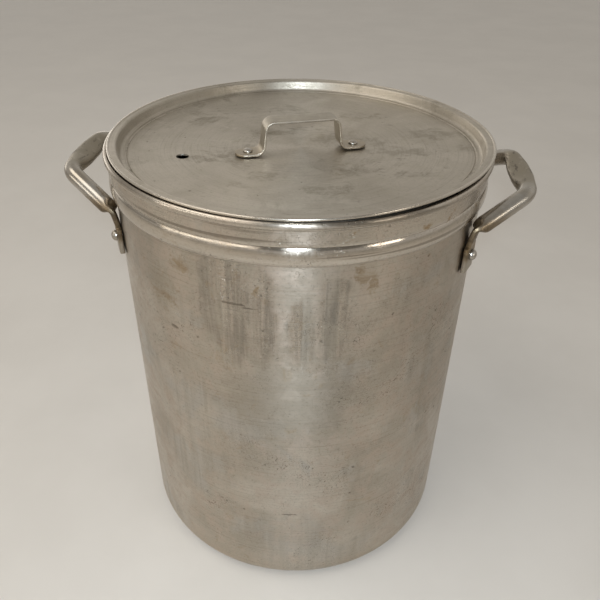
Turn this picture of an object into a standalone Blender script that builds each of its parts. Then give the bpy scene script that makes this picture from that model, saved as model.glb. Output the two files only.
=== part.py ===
"""A thirty-quart spun aluminium kettle with a dished lid, two riveted tube handles and a strap lid handle.

Run it with: blender --background --python part.py
Units are metres, +Z is up, and the origin is the centre of the kettle's flat underside. The two side
handles lie along +X and -X. Every piece is its own object, and the lid's pieces hang from one empty.
"""

from math import asin, copysign, cos, hypot, pi, radians, sin, tan

import bmesh
import bpy
from mathutils import Matrix, Vector

MM = 0.001
GAP = 0.3 * MM

# Kettle shell: driving sizes
HEIGHT = 394.5 * MM
RADIUS = 155.0 * MM
FOOT_RADIUS = 154.0 * MM
SHEET = 1.6 * MM
CORNER = 15.0 * MM
TURNED_STEPS = 60

# The shoulder, the groove and band above it, and the rolled rim
SHOULDER_FOOT = HEIGHT - 35.0 * MM
SHOULDER_TOP = HEIGHT - 18.3 * MM
SHOULDER_BULGE = 3.8 * MM
BAND_RADIUS = RADIUS + 3.0 * MM
GROOVE_DEPTH = 0.5 * MM
GROOVE_HEIGHT = 1.0 * MM
RIM_HALF_HEIGHT = 2.9 * MM
RIM_HALF_WIDTH = 2.1 * MM
RIM_CENTRE = Vector((BAND_RADIUS + 0.2 * MM, HEIGHT - RIM_HALF_HEIGHT))

# Lid
LID_SHEET = 1.2 * MM
LID_RADIUS = 158.6 * MM
LID_DEPTH = 9.0 * MM
LID_DISH = 3.0 * MM
LID_BEAD = 1.2 * MM
LID_SHIFT = 1.8 * MM
FLANGE_RADIUS = 152.7 * MM
PANEL_RADIUS = 143.0 * MM
LID_FILLET = 3.2 * MM
FLANGE_FILLET = 2.0 * MM
LID_GROOVE = 0.8 * MM
VENT_RADIUS = 5.2 * MM
VENT_PLACE = Vector((-91.3 * MM, -37.2 * MM))
FLANGE_TOP = HEIGHT + GAP + LID_BEAD + LID_SHEET / 2

# Side handles: round tube, flattened along the grip and pressed flat into a tab at each end.
# A section is its half width, its half thickness and its squareness (2 is an ellipse, more is boxier).
TAB_SECTION = (10.2 * MM, 2.2 * MM, 5.0)
NECK_SECTION = (8.4 * MM, 2.2 * MM, 5.0)
TUBE_SECTION = (7.0 * MM, 7.0 * MM, 2.0)
GRIP_SECTION = (9.2 * MM, 4.3 * MM, 2.6)
TUBE_WALL = 2.0 * MM
TUBE_POINTS = 12
GRIP_REACH = 187.0 * MM
GRIP_HALF_LENGTH = 38.5 * MM
GRIP_HEIGHT = HEIGHT - 25.0 * MM
GRIP_BEND = 17.0 * MM
ROOT_HEIGHT = HEIGHT - 44.5 * MM
ROOT_LEAN = 2.5 * MM
ROOT_BEND = 6.0 * MM
TAB_SPREAD = 66.0 * MM
TAB_TOP = HEIGHT - 58.0 * MM
TAB_HEIGHT = 22.0 * MM
TAB_SHOULDER = 1.5 * MM
HANDLE_RIVET_HEIGHT = TAB_TOP - 9.0 * MM

# Lid handle: a flat strap bent into a bridge
STRAP_SECTION = (8.7 * MM, 1.1 * MM, 6.0)
STRAP_POINTS = 12
STRAP_HEIGHT = 27.5 * MM
STRAP_END = 55.7 * MM
STRAP_LEG_FOOT = 33.0 * MM
STRAP_LEG_TOP = 30.0 * MM
STRAP_BEND = 7.0 * MM
STRAP_RIVET = 45.0 * MM
STRAP_TURN = radians(18.8)
STRAP_PLACE = Vector((2.6 * MM, -10.0 * MM))

# Rivets: a head and a tail are a radius and a height
SHANK_RADIUS = 2.3 * MM
HANDLE_HEAD = (4.6 * MM, 4.0 * MM)
HANDLE_TAIL = (3.9 * MM, 1.5 * MM)
LID_HEAD = (3.9 * MM, 2.0 * MM)
LID_TAIL = (3.6 * MM, 1.2 * MM)
HEAD_EDGE = 0.4 * MM
TAIL_TAPER = 0.9
RIVET_STEPS = 12

BEND_POINTS = 5
CUTTER_LENGTH = 30.0 * MM
CUTTER_SIDES = 16
WELD = 0.01 * MM
SHARP_ANGLE = radians(40)


def clear_scene():
    for obj in list(bpy.data.objects):
        bpy.data.objects.remove(obj, do_unlink=True)


def new_collection(name):
    collection = bpy.data.collections.new(name)
    bpy.context.scene.collection.children.link(collection)
    return collection


def new_material(name, colour, roughness):
    material = bpy.data.materials.new(name)
    material.use_nodes = True
    shader = material.node_tree.nodes["Principled BSDF"]
    shader.inputs["Base Color"].default_value = (*colour, 1.0)
    shader.inputs["Metallic"].default_value = 1.0
    shader.inputs["Roughness"].default_value = roughness
    return material


def place(name, mesh, collection, material=None):
    obj = bpy.data.objects.new(name, mesh)
    if material:
        mesh.materials.append(material)
    collection.objects.link(obj)
    return obj


def baked(obj):
    """The object with its modifiers applied, closed, facing out and shaded smooth but for its sharp edges."""
    bpy.context.view_layer.update()
    graph = bpy.context.evaluated_depsgraph_get()
    mesh = bpy.data.meshes.new_from_object(obj.evaluated_get(graph))
    obj.modifiers.clear()
    obj.data = mesh
    shape = bmesh.new()
    shape.from_mesh(mesh)
    bmesh.ops.recalc_face_normals(shape, faces=shape.faces)
    shape.to_mesh(mesh)
    shape.free()
    mesh.shade_smooth()
    mesh.set_sharp_from_angle(angle=SHARP_ANGLE)
    return obj


# Turned pieces


def arc(centre, width, height, start, end, points):
    """Points on an ellipse about centre; 0 degrees points away from the axis and 90 degrees up."""
    turn = (end - start) / (points - 1)
    angles = [radians(start + turn * i) for i in range(points)]
    return [Vector((centre[0] + width * cos(a), centre[1] + height * sin(a))) for a in angles]


def offset_line(line, distance):
    """The line moved to its left by distance, with mitred corners; its ends move square to the line."""
    moved = []
    for i, point in enumerate(line):
        before = (point - line[i - 1]).normalized() if i else None
        after = (line[i + 1] - point).normalized() if i + 1 < len(line) else None
        first = before or after
        second = after or before
        normal = Vector((-first.y - second.y, first.x + second.x)).normalized()
        mitre = normal.dot(Vector((-first.y, first.x)))
        moved.append(point + normal * distance / mitre)
    return moved


def turned(name, profile, steps, collection, material):
    """A closed turned solid. The profile starts and ends on the axis and runs down its outer side."""
    mesh = bpy.data.meshes.new(name)
    points = [(p.x, 0.0, p.y) for p in profile]
    edges = [(i, i + 1) for i in range(len(points) - 1)]
    mesh.from_pydata(points, edges, [])
    obj = place(name, mesh, collection, material)
    screw = obj.modifiers.new("turn", "SCREW")
    screw.steps = steps
    screw.render_steps = steps
    screw.use_merge_vertices = True
    screw.merge_threshold = WELD
    screw.use_smooth_shade = True
    return baked(obj)


def wall_radius(height):
    """Outer radius of the drawn wall, which has a slight draft."""
    share = (height - CORNER) / (SHOULDER_FOOT - CORNER)
    return FOOT_RADIUS + (RADIUS - FOOT_RADIUS) * share


def shell_outside():
    """The outer line of the sheet, from the axis at the underside up to the rolled rim."""
    line = [Vector((0.0, 0.0))]
    line += arc((FOOT_RADIUS - CORNER, CORNER), CORNER, CORNER, -90, 0, 6)
    line.append(Vector((RADIUS, SHOULDER_FOOT)))
    middle = (SHOULDER_FOOT + SHOULDER_TOP) / 2
    half = (SHOULDER_TOP - SHOULDER_FOOT) / 2
    line += arc((RADIUS, middle), SHOULDER_BULGE, half, -75, 60, 7)
    line.append(Vector((BAND_RADIUS - GROOVE_DEPTH, SHOULDER_TOP)))
    line.append(Vector((BAND_RADIUS, SHOULDER_TOP + GROOVE_HEIGHT)))
    line.append(Vector((BAND_RADIUS, HEIGHT - 2.2 * RIM_HALF_HEIGHT)))
    return line


def make_pot_body(collection, material):
    outside = shell_outside()
    inside = offset_line(outside, SHEET)
    inside[0].x = 0.0
    rim = arc(RIM_CENTRE, RIM_HALF_WIDTH, RIM_HALF_HEIGHT, 235, -55, 8)
    profile = inside + rim + outside[::-1]
    return turned("pot_body", profile, TURNED_STEPS, collection, material)


def panel_height(radius):
    """Top of the lid's panel at a distance from the lid's centre, below the flange's top."""
    return -LID_DEPTH - LID_DISH * (1 - (min(radius, PANEL_RADIUS) / PANEL_RADIUS) ** 2)


def lid_top_line():
    """The lid's upper surface from its centre to the flange, with heights from the flange's top."""
    line = [Vector((PANEL_RADIUS * i / 3, panel_height(PANEL_RADIUS * i / 3))) for i in range(4)]
    line.append(Vector((PANEL_RADIUS + LID_GROOVE, -LID_DEPTH - LID_GROOVE / 2)))
    line.append(Vector((PANEL_RADIUS + 2 * LID_GROOVE, -LID_DEPTH - LID_GROOVE / 2)))
    line.append(Vector((PANEL_RADIUS + 3 * LID_GROOVE, -LID_DEPTH)))
    cove = (FLANGE_RADIUS - 2 * LID_FILLET, LID_FILLET - LID_DEPTH)
    line += arc(cove, LID_FILLET, LID_FILLET, -90, -20, 4)
    line += arc((FLANGE_RADIUS, -FLANGE_FILLET), FLANGE_FILLET, FLANGE_FILLET, 160, 90, 3)
    return line


def make_lid(collection, material):
    top = lid_top_line()
    under = offset_line(top, -LID_SHEET)
    under[0].x = 0.0
    bead_centre = (LID_RADIUS - LID_BEAD, -LID_SHEET / 2)
    bead = arc(bead_centre, LID_BEAD, LID_BEAD, 150, -150, 7)
    lid = turned("lid", top + bead + under[::-1], TURNED_STEPS, collection, material)
    lid.location.z = FLANGE_TOP
    lid.location.x = LID_SHIFT
    return lid


def make_rivet(name, head, tail, grip, collection, material):
    """A rivet along +Z: a domed head, a shank that passes a stack of thickness grip, and a flat tail."""
    head_radius, head_height = head
    tail_radius, tail_height = tail
    under_head = grip + GAP
    profile = [Vector((0.0, under_head + head_height))]
    profile += arc((0.0, under_head + HEAD_EDGE), head_radius, head_height - HEAD_EDGE, 72, 0, 5)
    profile.append(Vector((head_radius, under_head)))
    profile.append(Vector((SHANK_RADIUS, under_head)))
    profile.append(Vector((SHANK_RADIUS, -GAP)))
    profile.append(Vector((tail_radius, -GAP)))
    profile.append(Vector((TAIL_TAPER * tail_radius, -GAP - tail_height)))
    profile.append(Vector((0.0, -GAP - tail_height)))
    return turned(name, profile, RIVET_STEPS, collection, material)


# Lofted pieces


def signed_power(value, power):
    return copysign(abs(value) ** power, value)


def ring(centre, side, thick, section, points):
    """A superellipse with the section's half width along side and its half thickness along thick."""
    half_width, half_thickness, squareness = section
    placed = []
    for i in range(points):
        angle = 2 * pi * (i + 0.5) / points
        across = half_width * signed_power(cos(angle), 2 / squareness)
        through = half_thickness * signed_power(sin(angle), 2 / squareness)
        placed.append(centre + side * across + thick * through)
    return placed


def mixed(first, second, share):
    return tuple(a + (b - a) * share for a, b in zip(first, second))


def add_loft(shape, rings):
    """Quads between each ring and the next; gives the first and last rings' vertices."""
    rows = [[shape.verts.new(point) for point in points] for points in rings]
    for low, high in zip(rows, rows[1:]):
        for i in range(len(low)):
            j = (i + 1) % len(low)
            shape.faces.new((low[i], low[j], high[j], high[i]))
    return rows[0], rows[-1]


def rounded_path(corners, radii):
    """The two ends and, at each corner between them, an arc of its radius."""
    path = [corners[0]]
    for before, corner, after, radius in zip(corners, corners[1:], corners[2:], radii):
        inward = (before - corner).normalized()
        outward = (after - corner).normalized()
        half_angle = inward.angle(outward) / 2
        reach = radius / tan(half_angle)
        centre = corner + (inward + outward).normalized() * radius / sin(half_angle)
        start = corner + inward * reach - centre
        end = corner + outward * reach - centre
        sweep = start.angle(end)
        for i in range(BEND_POINTS):
            share = i / (BEND_POINTS - 1)
            spoke = start * sin((1 - share) * sweep) + end * sin(share * sweep)
            path.append(centre + spoke / sin(sweep))
    path.append(corners[-1])
    return path


def path_direction(path, index):
    before = path[max(index - 1, 0)]
    after = path[min(index + 1, len(path) - 1)]
    return (after - before).normalized()


def path_lengths(path):
    lengths = [0.0]
    for before, after in zip(path, path[1:]):
        lengths.append(lengths[-1] + (after - before).length)
    return lengths


def ease(value, start, end):
    """0 at start, 1 at end, level at both."""
    share = min(max((value - start) / (end - start), 0.0), 1.0)
    return share * share * (3 - 2 * share)


def tab_angle():
    return asin(TAB_SPREAD / RADIUS)


def tab_middle():
    """Distance from the kettle's axis to the middle of the tab's thickness."""
    return wall_radius(TAB_TOP) + GAP + TAB_SECTION[1]


def handle_path():
    """Half of a side handle's centre line, for a handle on +X: its tab, then its neck, leg and grip."""
    outward = Vector((cos(tab_angle()), -sin(tab_angle()), 0.0))
    foot = outward * tab_middle()
    up = Vector((0.0, 0.0, 1.0))
    tab = [foot + up * (TAB_TOP - TAB_HEIGHT), foot + up * (TAB_TOP - TAB_SHOULDER)]
    neck = foot + up * (TAB_TOP + TAB_SHOULDER)
    root = foot + outward * ROOT_LEAN + up * ROOT_HEIGHT
    corner = Vector((GRIP_REACH, -GRIP_HALF_LENGTH, GRIP_HEIGHT))
    middle = Vector((GRIP_REACH, 0.0, GRIP_HEIGHT))
    bends = rounded_path([neck, root, corner, middle], [ROOT_BEND, GRIP_BEND])
    to_root, to_grip = bends[: BEND_POINTS + 1], bends[BEND_POINTS + 1 : -1]
    leg = [to_root[-1].lerp(to_grip[0], share) for share in (0.15, 0.35)]
    grip = [to_grip[-1].lerp(middle, share) for share in (0.3, 0.65, 1.0)]
    return tab, to_root + leg + to_grip + grip


def handle_rings(shrink):
    """The sections along half a handle, made smaller by shrink to give the tube's inside."""
    tab, rest = handle_path()
    path = tab + rest
    lengths = path_lengths(path)
    leg_start = len(tab) + BEND_POINTS + 2
    leg_direction = path_direction(path, leg_start)
    along_grip = Vector((0.0, 1.0, 0.0))
    handle_normal = leg_direction.cross(along_grip).normalized()
    tangent = Vector((sin(tab_angle()), cos(tab_angle()), 0.0))
    rings = []
    for i, centre in enumerate(path):
        direction = path_direction(path, i)
        if i <= len(tab):
            direction = Vector((0.0, 0.0, 1.0))
        if i == len(path) - 1:
            direction = along_grip
        roundness = ease(lengths[i], lengths[len(tab) + 1], lengths[leg_start])
        flatness = ease(lengths[i], lengths[leg_start + BEND_POINTS // 2 + 1], lengths[-2])
        side = tangent.lerp(handle_normal.cross(direction), roundness)
        side = (side - direction * side.dot(direction)).normalized()
        section = TAB_SECTION if i < len(tab) else mixed(NECK_SECTION, TUBE_SECTION, roundness)
        half_width, half_thickness, squareness = mixed(section, GRIP_SECTION, flatness)
        section = (half_width - shrink, half_thickness - shrink, squareness)
        rings.append(ring(centre, side, direction.cross(side), section, TUBE_POINTS))
    return rings


def make_side_handle(name, turn, collection, material):
    """A hollow tube open only at the seam in each tab's end; half is modelled and mirrored."""
    shape = bmesh.new()
    outer_end, _ = add_loft(shape, handle_rings(0.0))
    inner_end, _ = add_loft(shape, handle_rings(TUBE_WALL))
    for i in range(TUBE_POINTS):
        j = (i + 1) % TUBE_POINTS
        shape.faces.new((outer_end[i], outer_end[j], inner_end[j], inner_end[i]))
    mesh = bpy.data.meshes.new(name)
    shape.to_mesh(mesh)
    shape.free()
    handle = place(name, mesh, collection, material)
    mirror = handle.modifiers.new("other half", "MIRROR")
    mirror.use_axis = (False, True, False)
    mirror.merge_threshold = WELD
    baked(handle)
    handle.rotation_euler.z = turn
    return handle


def strap_corners():
    """Corners of half the strap's centre line, from a foot's end to the middle of the bar."""
    foot = STRAP_SECTION[1]
    bar = STRAP_HEIGHT - STRAP_SECTION[1]
    return [
        Vector((-STRAP_END, 0.0, foot)),
        Vector((-STRAP_LEG_FOOT, 0.0, foot)),
        Vector((-STRAP_LEG_TOP, 0.0, bar)),
        Vector((0.0, 0.0, bar)),
    ]


def make_lid_handle(collection, material):
    """The bridge, lofted with its feet's ends rounded in plan; its underside is at its own z = 0."""
    half_width, half_thickness, squareness = STRAP_SECTION
    bends = rounded_path(strap_corners(), [STRAP_BEND, STRAP_BEND])
    turns = [radians(angle) for angle in (14, 30, 50, 70, 90)]
    foot = [bends[0] + Vector((half_width * (1 - cos(turn)), 0.0, 0.0)) for turn in turns]
    widths = [half_width * sin(turn) for turn in turns]
    path = foot + bends[1:]
    widths += [half_width] * (len(path) - len(foot))
    along = Vector((1.0, 0.0, 0.0))
    across = Vector((0.0, 1.0, 0.0))
    rings = []
    for i, centre in enumerate(path):
        direction = path_direction(path, i) if 0 < i < len(path) - 1 else along
        section = (widths[i], half_thickness, squareness)
        rings.append(ring(centre, across, direction.cross(across), section, STRAP_POINTS))
    shape = bmesh.new()
    first, _ = add_loft(shape, rings)
    shape.faces.new(first)
    mesh = bpy.data.meshes.new("lid_handle")
    shape.to_mesh(mesh)
    shape.free()
    strap = place("lid_handle", mesh, collection, material)
    mirror = strap.modifiers.new("other half", "MIRROR")
    mirror.merge_threshold = WELD
    baked(strap)
    strap.location = (STRAP_PLACE.x, STRAP_PLACE.y, strap_seat())
    strap.rotation_euler.z = STRAP_TURN
    return strap


def strap_seat():
    """Height of the strap's underside: just clear of the dished panel under its feet's outer ends."""
    return FLANGE_TOP + panel_height(STRAP_END + STRAP_PLACE.length) + GAP


# Holes


def make_cutter(name, radius, matrix, collection):
    """A hidden cylinder along its own Z, centred on the matrix's place."""
    mesh = bpy.data.meshes.new(name)
    shape = bmesh.new()
    bmesh.ops.create_cone(
        shape, cap_ends=True, segments=CUTTER_SIDES, radius1=radius, radius2=radius, depth=CUTTER_LENGTH
    )
    shape.to_mesh(mesh)
    shape.free()
    cutter = place(name, mesh, collection)
    cutter.matrix_world = matrix
    cutter.hide_render = True
    cutter.display_type = "WIRE"
    return cutter


def drill(obj, cutter):
    cut = obj.modifiers.new(cutter.name, "BOOLEAN")
    cut.operation = "DIFFERENCE"
    cut.solver = "EXACT"
    cut.object = cutter


def side_rivet_matrix(azimuth):
    """At the wall's inner face, with Z pointing out through the wall and the tab."""
    distance = wall_radius(HANDLE_RIVET_HEIGHT) - SHEET
    place_at = Vector((cos(azimuth) * distance, sin(azimuth) * distance, HANDLE_RIVET_HEIGHT))
    return Matrix.Translation(place_at) @ Matrix.Rotation(azimuth, 4, "Z") @ Matrix.Rotation(pi / 2, 4, "Y")


def lid_rivet_matrix(side):
    """At the underside of the lid's panel under a strap foot, with Z up."""
    along = Vector((cos(STRAP_TURN), sin(STRAP_TURN))) * STRAP_RIVET * side
    spot = STRAP_PLACE + along
    distance = hypot(spot.x - LID_SHIFT, spot.y)
    height = FLANGE_TOP + panel_height(distance) - LID_SHEET
    return Matrix.Translation((spot.x, spot.y, height))


def add_side_handles(pot, parts, cutters, tube_finish, rivet_finish):
    """Two hollow handles, each held by a rivet through either tab and the kettle's wall."""
    stack = SHEET + GAP + 2 * TAB_SECTION[1]
    for side, azimuth, front in (("right", 0.0, -tab_angle()), ("left", pi, tab_angle())):
        handle = make_side_handle(f"{side}_handle", azimuth, parts, tube_finish)
        for end, offset in (("front", front), ("rear", -front)):
            name = f"{side}_handle_{end}_rivet"
            matrix = side_rivet_matrix(azimuth + offset)
            rivet = make_rivet(name, HANDLE_HEAD, HANDLE_TAIL, stack, parts, rivet_finish)
            rivet.matrix_world = matrix
            cutter = make_cutter(f"{name}_hole", SHANK_RADIUS + GAP, matrix, cutters)
            drill(pot, cutter)
            drill(handle, cutter)


def add_lid(parts, cutters, lid_finish, strap_finish, rivet_finish):
    """The lid, its strap and two rivets, under an empty that rises with the lid."""
    lid = make_lid(parts, lid_finish)
    strap = make_lid_handle(parts, strap_finish)
    moving = [lid, strap]
    foot_top = strap_seat() + 2 * STRAP_SECTION[1]
    for end, side in (("left", -1), ("right", 1)):
        name = f"lid_handle_{end}_rivet"
        matrix = lid_rivet_matrix(side)
        stack = foot_top - matrix.translation.z
        rivet = make_rivet(name, LID_HEAD, LID_TAIL, stack, parts, rivet_finish)
        rivet.matrix_world = matrix
        cutter = make_cutter(f"{name}_hole", SHANK_RADIUS + GAP, matrix, cutters)
        drill(lid, cutter)
        drill(strap, cutter)
        moving.append(rivet)
    vent_place = Matrix.Translation((VENT_PLACE.x, VENT_PLACE.y, FLANGE_TOP - LID_DEPTH))
    drill(lid, make_cutter("vent_hole", VENT_RADIUS, vent_place, cutters))
    lift = bpy.data.objects.new("lid_lift", None)
    parts.objects.link(lift)
    lift.location = (LID_SHIFT, 0.0, FLANGE_TOP)
    bpy.context.view_layer.update()
    for obj in moving:
        obj.parent = lift
        obj.matrix_parent_inverse = lift.matrix_world.inverted()


def build():
    clear_scene()
    parts = new_collection("kettle")
    cutters = new_collection("cutters")
    shell_finish = new_material("spun_aluminium", (0.60, 0.57, 0.52), 0.38)
    lid_finish = new_material("lid_aluminium", (0.55, 0.52, 0.46), 0.45)
    tube_finish = new_material("polished_tube", (0.56, 0.54, 0.50), 0.28)
    strap_finish = new_material("strap_aluminium", (0.60, 0.58, 0.53), 0.40)
    rivet_finish = new_material("rivet_aluminium", (0.66, 0.64, 0.60), 0.35)
    pot = make_pot_body(parts, shell_finish)
    add_side_handles(pot, parts, cutters, tube_finish, rivet_finish)
    add_lid(parts, cutters, lid_finish, strap_finish, rivet_finish)


build()
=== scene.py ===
"""The looks of a worn thirty-quart aluminium kettle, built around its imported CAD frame.

Each CAD node is replaced by a finer piece of the same shape. Lengths are in metres, written as
millimetres times MM, with +Z up and the origin at the centre of the kettle's underside. Every
material is made of nodes.
"""

from math import asin, copysign, cos, exp, hypot, pi, radians, sin, tan
from types import SimpleNamespace

import bmesh
import bpy
from mathutils import Matrix, Vector, noise


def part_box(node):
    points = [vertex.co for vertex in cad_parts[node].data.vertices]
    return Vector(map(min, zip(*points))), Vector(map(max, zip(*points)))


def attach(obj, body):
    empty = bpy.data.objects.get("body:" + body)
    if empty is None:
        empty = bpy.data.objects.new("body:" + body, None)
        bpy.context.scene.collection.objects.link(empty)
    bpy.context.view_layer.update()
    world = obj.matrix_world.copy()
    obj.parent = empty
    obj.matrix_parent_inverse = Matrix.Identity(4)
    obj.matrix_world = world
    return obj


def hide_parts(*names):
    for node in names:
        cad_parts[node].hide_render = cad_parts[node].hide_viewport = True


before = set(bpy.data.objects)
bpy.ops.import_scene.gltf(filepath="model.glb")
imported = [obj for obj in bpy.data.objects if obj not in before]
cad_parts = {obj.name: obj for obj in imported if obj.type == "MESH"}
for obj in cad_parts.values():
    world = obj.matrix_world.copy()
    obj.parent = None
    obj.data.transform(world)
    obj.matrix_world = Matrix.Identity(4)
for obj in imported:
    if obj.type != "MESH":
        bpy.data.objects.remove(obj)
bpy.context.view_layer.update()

MM = 0.001
GAP = 0.3 * MM
X_AXIS = Vector((1.0, 0.0, 0.0))
Y_AXIS = Vector((0.0, 1.0, 0.0))
Z_AXIS = Vector((0.0, 0.0, 1.0))
FLIP_X = Vector((-1.0, 1.0, 1.0))
FLIP_Y = Vector((1.0, -1.0, 1.0))

# Kettle shell, from the CAD box inwards
POT_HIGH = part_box("pot_body")[1]
HEIGHT = POT_HIGH.z
RIM_HALF_WIDTH = 2.1 * MM
RIM_HALF_HEIGHT = 2.9 * MM
RIM_RADIUS = POT_HIGH.x - RIM_HALF_WIDTH
BAND_RADIUS = RIM_RADIUS - 0.2 * MM
RADIUS = BAND_RADIUS - 3.0 * MM
FOOT_RADIUS = RADIUS - 1.0 * MM
SHEET = 1.6 * MM
CORNER = 15.0 * MM
SHOULDER_FOOT = HEIGHT - 35.0 * MM
SHOULDER_TOP = HEIGHT - 18.3 * MM
SHOULDER_BULGE = 3.8 * MM
GROOVE_DEPTH = 0.5 * MM
GROOVE_HEIGHT = 1.0 * MM
GROOVE_FLOOR = (-0.1 * MM, 0.2 * MM)
BAND_TOP = HEIGHT - 2.2 * RIM_HALF_HEIGHT
STIFF_HEIGHT = 12.0 * MM
POT_SEGMENTS = 240
FLOOR_STATIONS = 12
WALL_STATIONS = 60
BAND_STATIONS = 6

# Lid, from the CAD box
LID_LOW, LID_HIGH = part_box("lid")
LID_CENTRE = (LID_LOW.x + LID_HIGH.x) / 2
LID_RADIUS = (LID_HIGH.x - LID_LOW.x) / 2
LID_SHEET = 1.2 * MM
LID_BEAD = 1.2 * MM
LID_DEPTH = 9.0 * MM
LID_DISH = 3.0 * MM
LID_FILLET = 3.2 * MM
LID_GROOVE = 0.8 * MM
LID_BEND = 3.0 * MM
LID_BEND_TURN = radians(-32)
LID_BEND_START = 0.4
FLANGE_TOP = HEIGHT + GAP + LID_BEAD + LID_SHEET / 2
FLANGE_FILLET = 2.0 * MM
FLANGE_RADIUS = LID_RADIUS - 5.9 * MM
PANEL_RADIUS = FLANGE_RADIUS - 9.7 * MM
VENT_RADIUS = 5.2 * MM
VENT_PLACE = Vector((-91.3 * MM, -37.2 * MM))
VENT_CUT = 20.0 * MM
VENT_SEGMENTS = 48
LID_SEGMENTS = 240
PANEL_STATIONS = 40
COVE_STATIONS = 5

# Side handles. A section is its half width, its half thickness and its squareness. The rounding and the
# flattening start and end at these distances past the leg's root and past the start of the grip.
HANDLE_LOW, HANDLE_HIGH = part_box("right_handle")
TAB_SECTION = (10.2 * MM, 2.2 * MM, 5.0)
NECK_SECTION = (6.9 * MM, 2.4 * MM, 4.0)
TUBE_SECTION = (7.0 * MM, 7.0 * MM, 2.0)
GRIP_SECTION = (8.9 * MM, 4.3 * MM, 2.6)
TUBE_WALL = 2.0 * MM
TUBE_POINTS = 36
GRIP_OVERHANG = 8.7 * MM
GRIP_REACH = HANDLE_HIGH.x - GRIP_OVERHANG
GRIP_HALF_LENGTH = 38.5 * MM
GRIP_HEIGHT = HEIGHT - 25.0 * MM
GRIP_BEND = 17.0 * MM
ROOT_HEIGHT = HEIGHT - 44.5 * MM
ROOT_LEAN = 2.5 * MM
ROOT_BEND = 4.0 * MM
TAB_SPREAD = 66.0 * MM
TAB_TOP = HEIGHT - 58.0 * MM
TAB_FOOT = HANDLE_LOW.z
TAB_BEND = 30.0 * MM
TAB_SHOULDER = 0.8 * MM
HANDLE_RIVET_HEIGHT = TAB_TOP - 9.0 * MM
ROOT_ROUNDING = (-1.0 * MM, 9.0 * MM)
GRIP_FLATTENING = (4.0 * MM, 31.0 * MM)
STATION_STEP = 1.0 * MM

# Lid strap
STRAP_SECTION = (8.7 * MM, 1.1 * MM, 7.0)
STRAP_POINTS = 40
STRAP_FOOT_POINTS = 14
STRAP_LOW, STRAP_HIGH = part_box("lid_handle")
STRAP_PLACE = (STRAP_LOW + STRAP_HIGH) / 2
STRAP_HEIGHT = STRAP_HIGH.z - STRAP_LOW.z
STRAP_END = 55.7 * MM
STRAP_LEG_FOOT = 33.0 * MM
STRAP_LEG_TOP = 30.0 * MM
STRAP_BEND = 7.0 * MM
STRAP_RIVET = 45.0 * MM
STRAP_TURN = radians(18.8)

# Rivets: a head and a tail are a radius and a height
SHANK_RADIUS = 2.3 * MM
HANDLE_HEAD = (4.6 * MM, 4.0 * MM)
HANDLE_TAIL = (3.9 * MM, 1.5 * MM)
LID_HEAD = (3.9 * MM, 2.0 * MM)
LID_TAIL = (3.6 * MM, 1.2 * MM)
RIVET_EDGE = 0.3 * MM
RIVET_SEGMENTS = 48

# Points in each bend of a lofted piece, and the angle past which an edge is shaded as sharp
BEND_POINTS = 17
SHARP_ANGLE = radians(38)


# Meshes


def new_object(name, shape):
    """Turns a bmesh into an object in the scene."""
    mesh = bpy.data.meshes.new(name)
    shape.to_mesh(mesh)
    shape.free()
    obj = bpy.data.objects.new(name, mesh)
    bpy.context.scene.collection.objects.link(obj)
    return obj


def finished(name, shape, body, nodes, material):
    """Turns a bmesh into a piece that stands for CAD nodes and rides on their body."""
    bmesh.ops.recalc_face_normals(shape, faces=shape.faces)
    obj = new_object(name, shape)
    obj.data.shade_smooth()
    obj.data.set_sharp_from_angle(angle=SHARP_ANGLE)
    obj.data.materials.append(material)
    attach(obj, body)
    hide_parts(*nodes)
    return obj


def add_ring(shape, points):
    return [shape.verts.new(point) for point in points]


def bridge(shape, low, high):
    """Quads between two rings of the same count."""
    for i in range(len(low)):
        j = (i + 1) % len(low)
        shape.faces.new((low[i], low[j], high[j], high[i]))


def add_turned(shape, profile, segments, place, centre=0.0):
    """Turns a profile that starts and ends on the axis. place moves each point of the plain surface."""
    directions = [(cos(2 * pi * i / segments), sin(2 * pi * i / segments)) for i in range(segments)]
    rings = []
    for point in profile[1:-1]:
        ring = [place(Vector((centre + point.x * c, point.x * s, point.y))) for c, s in directions]
        rings.append(add_ring(shape, ring))
    for low, high in zip(rings, rings[1:]):
        bridge(shape, low, high)
    for end, ring in ((profile[0], rings[0]), (profile[-1], rings[-1])):
        pole = shape.verts.new(place(Vector((centre, 0.0, end.y))))
        for i in range(segments):
            shape.faces.new((ring[i], ring[(i + 1) % segments], pole))


def arc(centre, width, height, start, end, points):
    """Points on an ellipse about centre; 0 degrees points away from the axis and 90 degrees up."""
    turn = (end - start) / (points - 1)
    angles = [radians(start + turn * i) for i in range(points)]
    return [Vector((centre[0] + width * cos(a), centre[1] + height * sin(a))) for a in angles]


def straight(start, end, points):
    """Points from start up to but not including end."""
    return [start.lerp(end, i / points) for i in range(points)]


def offset_line(line, distance):
    """The line moved to its left by distance, with mitred corners; its ends move square to the line."""
    moved = []
    for i, point in enumerate(line):
        before = (point - line[i - 1]).normalized() if i else None
        after = (line[i + 1] - point).normalized() if i + 1 < len(line) else None
        first = before or after
        second = after or before
        normal = Vector((-first.y - second.y, first.x + second.x)).normalized()
        mitre = normal.dot(Vector((-first.y, first.x)))
        moved.append(point + normal * distance / mitre)
    return moved


def ease(value, start, end):
    """0 at start, 1 at end, level at both."""
    share = min(max((value - start) / (end - start), 0.0), 1.0)
    return share * share * (3 - 2 * share)


# Kettle shell

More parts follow.
